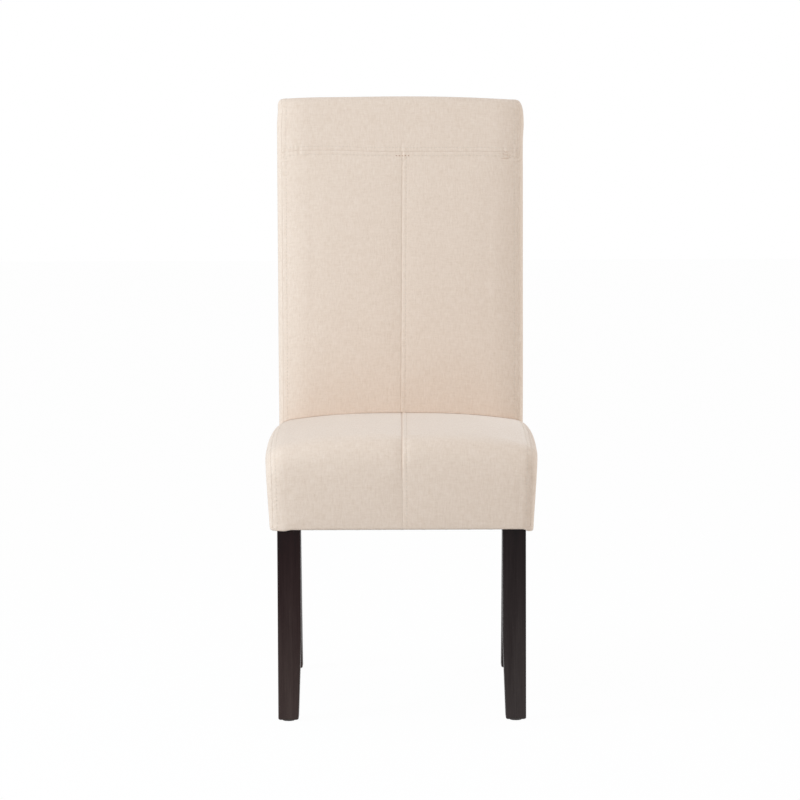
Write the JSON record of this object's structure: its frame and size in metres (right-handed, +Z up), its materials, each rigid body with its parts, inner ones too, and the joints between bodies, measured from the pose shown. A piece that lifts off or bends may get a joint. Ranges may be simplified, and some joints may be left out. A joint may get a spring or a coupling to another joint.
{
  "type": "parsons chair",
  "caption": "Tall-backed upholstered dining chair with linen-look covers, a T seam on the inside back and dark square wooden legs.",
  "frame": {"origin": "middle of the chair's plan, on the floor", "axes": "+Z up, -Y towards the front of the seat, +X to the right as seen from the front"},
  "size_m": [0.47, 0.6512, 1.08],
  "materials": {
    "linen": "cream linen-look plain weave with slubs, matt",
    "espresso_wood": "espresso stain under a satin lacquer",
    "frame_wood": "unfinished hardwood",
    "webbing": "woven jute",
    "foam": "open-cell foam and wadding",
    "dust_cloth": "black non-woven cloth",
    "steel": "zinc plated",
    "glide_plastic": "moulded"
  },
  "bodies": {
    "root": {"seat_cover_left": "linen", "seat_cover_right": "linen", "seat_side_cover_left": "linen", "seat_side_cover_right": "linen", "back_yoke_cover": "linen", "back_cover_left": "linen", "back_cover_right": "linen", "back_side_cover_left": "linen", "back_side_cover_right": "linen", "back_outside_cover": "linen", "front_leg_left": "espresso_wood", "front_leg_right": "espresso_wood", "rear_post_left": "espresso_wood", "rear_post_right": "espresso_wood", "seat_rail_front": "frame_wood", "seat_rail_rear": "frame_wood", "seat_rail_left": "frame_wood", "seat_rail_right": "frame_wood", "corner_block_front_left": "frame_wood", "corner_block_front_right": "frame_wood", "corner_block_rear_left": "frame_wood", "corner_block_rear_right": "frame_wood", "back_rail_bottom": "frame_wood", "back_rail_top": "frame_wood", "seat_strap_lengthwise_1": "webbing", "seat_strap_lengthwise_2": "webbing", "seat_strap_lengthwise_3": "webbing", "seat_strap_crosswise_1": "webbing", "seat_strap_crosswise_2": "webbing", "back_strap_1": "webbing", "back_strap_2": "webbing", "back_strap_3": "webbing", "seat_foam": "foam", "seat_front_pad": "foam", "seat_side_pad_left": "foam", "seat_side_pad_right": "foam", "back_foam": "foam", "back_side_pad_left": "foam", "back_side_pad_right": "foam", "dust_cover": "dust_cloth", "frame_bolt_1": "steel", "frame_bolt_2": "steel", "frame_bolt_3": "steel", "frame_bolt_4": "steel", "t_nut_1": "steel", "t_nut_2": "steel", "t_nut_3": "steel", "t_nut_4": "steel", "corner_screw_front_left_end": "steel", "corner_screw_front_left_side": "steel", "corner_screw_front_right_end": "steel", "corner_screw_front_right_side": "steel", "corner_screw_rear_left_end": "steel", "corner_screw_rear_left_side": "steel", "corner_screw_rear_right_end": "steel", "corner_screw_rear_right_side": "steel", "glide_front_left": "glide_plastic", "glide_front_right": "glide_plastic", "glide_rear_left": "glide_plastic", "glide_rear_right": "glide_plastic"}
  },
  "joints": []
}
